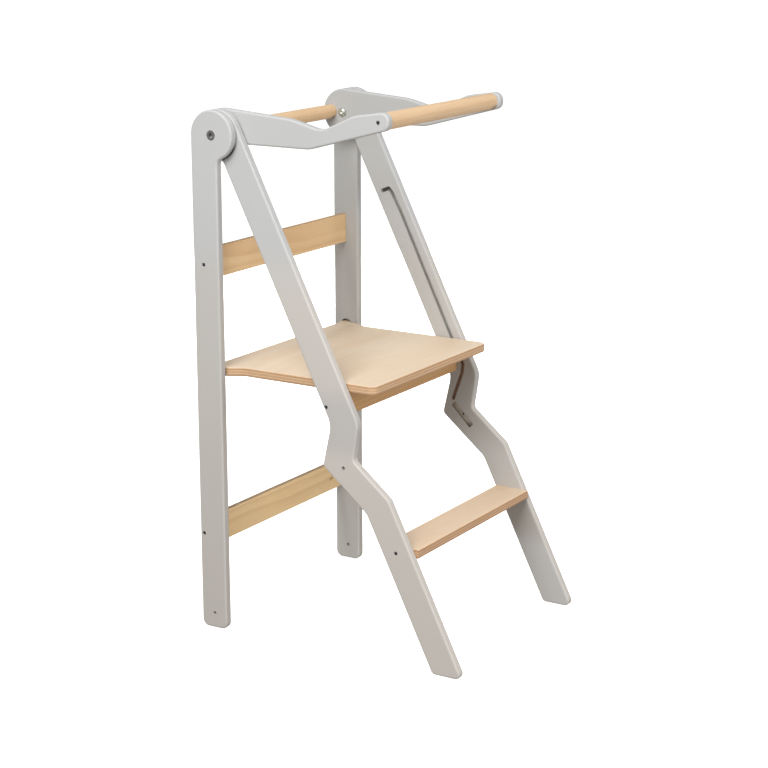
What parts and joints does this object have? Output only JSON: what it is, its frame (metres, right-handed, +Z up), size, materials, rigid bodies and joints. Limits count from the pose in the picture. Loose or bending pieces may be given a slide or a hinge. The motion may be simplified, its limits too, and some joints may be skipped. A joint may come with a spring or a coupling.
{
  "type": "folding toddler kitchen helper stool",
  "caption": "Folding wooden step-up stool for a toddler: standing platform, climbing step and hand rail between pivoted plywood side frames.",
  "frame": {"origin": "on the floor, in the middle of the open stool's width and depth", "axes": "+X across the stool, +Y towards the rear legs (the steps face -Y), +Z up"},
  "size_m": [0.442, 0.5043, 0.9061],
  "materials": {
    "painted_ply": "satin light warm grey paint over plywood",
    "light_ply": "clear satin lacquer on birch plywood",
    "rail_ply": "clear satin lacquer on plywood, plies showing",
    "slat_wood": "clear satin lacquer on solid pine",
    "dowel_wood": "clear satin lacquer on turned beech",
    "black_screw": "black oxide steel, satin",
    "zinc_steel": "zinc plated, satin"
  },
  "bodies": {
    "back_frame": {"back_leg_left": "painted_ply", "back_leg_right": "painted_ply", "upper_back_slat": "slat_wood", "lower_back_slat": "slat_wood", "upper_slat_screws": "black_screw", "lower_slat_screws": "black_screw", "pivot_barrel_left": "black_screw", "pivot_barrel_right": "black_screw", "pivot_bolt_left": "zinc_steel", "pivot_bolt_right": "zinc_steel", "outer_pivot_washers": "zinc_steel", "inner_pivot_washers": "zinc_steel"},
    "front_frame": {"front_leg_left": "painted_ply", "front_leg_right": "painted_ply", "step_board": "light_ply", "platform_rail": "rail_ply", "rail_screws": "black_screw", "step_screws": "black_screw"},
    "platform": {"platform_board": "light_ply", "platform_guide_pins": "zinc_steel"},
    "guard": {"guard_arm_left": "painted_ply", "guard_arm_right": "painted_ply", "front_grip_rail": "dowel_wood", "rear_top_rail": "dowel_wood", "grip_screws": "black_screw", "top_rail_screws": "black_screw"}
  },
  "joints": [
    {"name": "front_fold", "type": "hinge", "parent": "back_frame", "child": "front_frame", "pos_m": [0, 0.21075, 0.855], "axis": [1, 0, 0], "range_deg": [0, 25.4]},
    {"name": "platform_tilt", "type": "hinge", "parent": "back_frame", "child": "platform", "pos_m": [0, 0.22675, 0.4562], "axis": [-1, 0, 0], "range_deg": [0, 84.5]},
    {"name": "guard_fold", "type": "hinge", "parent": "back_frame", "child": "guard", "pos_m": [0, 0.21075, 0.855], "axis": [1, 0, 0], "range_deg": [0, 66]}
  ],
  "couplings": [
    {"joint": "platform_tilt", "follows": "front_fold", "ratio": 3.32}
  ]
}
